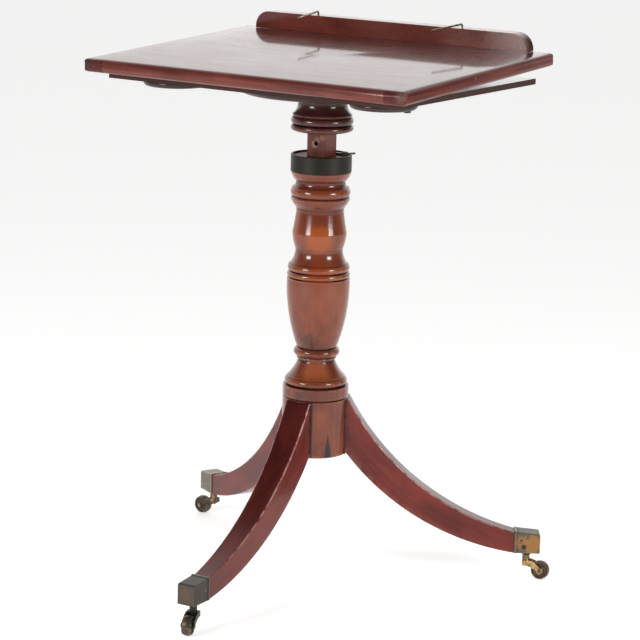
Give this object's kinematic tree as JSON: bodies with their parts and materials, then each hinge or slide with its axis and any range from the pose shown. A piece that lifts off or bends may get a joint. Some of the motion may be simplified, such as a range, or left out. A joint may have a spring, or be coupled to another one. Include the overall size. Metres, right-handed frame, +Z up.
{
  "type": "book stand",
  "caption": "Floor-standing mahogany reading stand: tilting top with lift-out ledge, sliding post in a turned column, sabre legs in brass caps on castors.",
  "frame": {"origin": "on the floor under the axis of the turned column", "axes": "+Z up along the column; +X along the hinge edge of the top; +Y from the hinge edge towards the ledge"},
  "size_m": [0.625, 0.5517, 0.817],
  "materials": {
    "mahogany": "French polish, worn",
    "dark_mahogany": "dark old polish",
    "polished_mahogany": "high French polish",
    "old_brass": "dark patina",
    "bright_brass": "rubbed bright",
    "iron": "dull, oxidised"
  },
  "bodies": {
    "base": {"column": "mahogany", "collar": "old_brass", "leg_front": "mahogany", "leg_right": "mahogany", "leg_left": "mahogany", "cap_front": "old_brass", "cap_right": "old_brass", "cap_left": "old_brass", "cap_screws": "bright_brass", "brace_plate": "iron", "brace_screws": "iron", "catch_screw": "old_brass", "catch_spring": "iron"},
    "catch": {"catch_lever": "old_brass"},
    "riser": {"post": "polished_mahogany", "capital": "dark_mahogany", "mounting_plate": "dark_mahogany", "under_board": "dark_mahogany", "plate_screws": "iron", "rack_left": "mahogany", "rack_right": "mahogany", "hinge_lower_left": "old_brass", "hinge_lower_right": "old_brass", "hinge_pins": "old_brass", "lower_leaf_screws": "old_brass", "candle_screws": "old_brass"},
    "top": {"top_panel": "polished_mahogany", "top_end_left": "mahogany", "top_end_right": "mahogany", "hinge_upper_left": "old_brass", "hinge_upper_right": "old_brass", "upper_leaf_screws": "old_brass", "strut_leaf_top": "old_brass", "strut_top_screws": "old_brass"},
    "strut": {"strut": "mahogany", "strut_leaf_foot": "old_brass", "strut_pins": "old_brass", "strut_foot_screws": "old_brass"},
    "ledge": {"ledge": "polished_mahogany", "ledge_dowels": "mahogany", "holder_bushes": "bright_brass"},
    "holder_left": {"page_holder_left": "bright_brass"},
    "holder_right": {"page_holder_right": "bright_brass"},
    "candle_left": {"candle_stand_left": "dark_mahogany"},
    "candle_right": {"candle_stand_right": "dark_mahogany"},
    "castor_front": {"horn_front": "bright_brass", "axle_front": "old_brass"},
    "roller_front": {"wheel_front": "bright_brass"},
    "castor_right": {"horn_right": "bright_brass", "axle_right": "old_brass"},
    "roller_right": {"wheel_right": "bright_brass"},
    "castor_left": {"horn_left": "bright_brass", "axle_left": "old_brass"},
    "roller_left": {"wheel_left": "bright_brass"}
  },
  "joints": [
    {"name": "post_slide", "type": "slide", "parent": "base", "child": "riser", "axis": [0, 0, 1], "range_m": [-0.029, 0.17]},
    {"name": "top_tilt", "type": "hinge", "parent": "riser", "child": "top", "pos_m": [0, -0.1886, 0.7452], "axis": [1, 0, 0], "range_deg": [0, 47]},
    {"name": "strut_swing", "type": "hinge", "parent": "top", "child": "strut", "pos_m": [0, -0.00382, 0.7543], "axis": [1, 0, 0], "range_deg": [-94, 0]},
    {"name": "ledge_lift", "type": "slide", "parent": "top", "child": "ledge", "axis": [0, -0.0492, 0.9988], "range_m": [0, 0.03]},
    {"name": "holder_left_swivel", "type": "hinge", "parent": "ledge", "child": "holder_left", "pos_m": [-0.126, 0.17379, 0.8031], "axis": [0, -0.0492, 0.9988], "continuous": true},
    {"name": "holder_right_swivel", "type": "hinge", "parent": "ledge", "child": "holder_right", "pos_m": [0.126, 0.17379, 0.8031], "axis": [0, -0.0492, 0.9988], "continuous": true},
    {"name": "candle_left_swing", "type": "hinge", "parent": "riser", "child": "candle_left", "pos_m": [-0.214, -0.1168, 0.7306], "axis": [0, 0, 1], "range_deg": [0, 180]},
    {"name": "candle_right_swing", "type": "hinge", "parent": "riser", "child": "candle_right", "pos_m": [0.214, -0.1168, 0.7306], "axis": [0, 0, -1], "range_deg": [0, 180]},
    {"name": "catch_turn", "type": "hinge", "parent": "base", "child": "catch", "pos_m": [0.02542, 0.02255, 0.6313], "axis": [0, 0, -1], "range_deg": [0, 10], "stiffness_Nm_per_rad": 0.05},
    {"name": "castor_front_swivel", "type": "hinge", "parent": "base", "child": "castor_front", "pos_m": [0.01677, -0.32006, 0.038], "axis": [0, 0, 1], "continuous": true},
    {"name": "wheel_front_roll", "type": "hinge", "parent": "castor_front", "child": "roller_front", "pos_m": [0.02357, -0.34098, 0.014], "axis": [0.9511, 0.309, 0], "continuous": true},
    {"name": "castor_right_swivel", "type": "hinge", "parent": "base", "child": "castor_right", "pos_m": [0.26879, 0.17456, 0.038], "axis": [0, 0, 1], "continuous": true},
    {"name": "wheel_right_roll", "type": "hinge", "parent": "castor_right", "child": "roller_right", "pos_m": [0.28947, 0.18208, 0.014], "axis": [-0.342, 0.9397, 0], "continuous": true},
    {"name": "castor_left_swivel", "type": "hinge", "parent": "base", "child": "castor_left", "pos_m": [-0.28557, 0.1455, 0.038], "axis": [0, 0, 1], "continuous": true},
    {"name": "wheel_left_roll", "type": "hinge", "parent": "castor_left", "child": "roller_left", "pos_m": [-0.30748, 0.14742, 0.014], "axis": [-0.0872, -0.9962, 0], "continuous": true}
  ],
  "couplings": [
    {"joint": "strut_swing", "follows": "top_tilt", "ratio": -2}
  ]
}
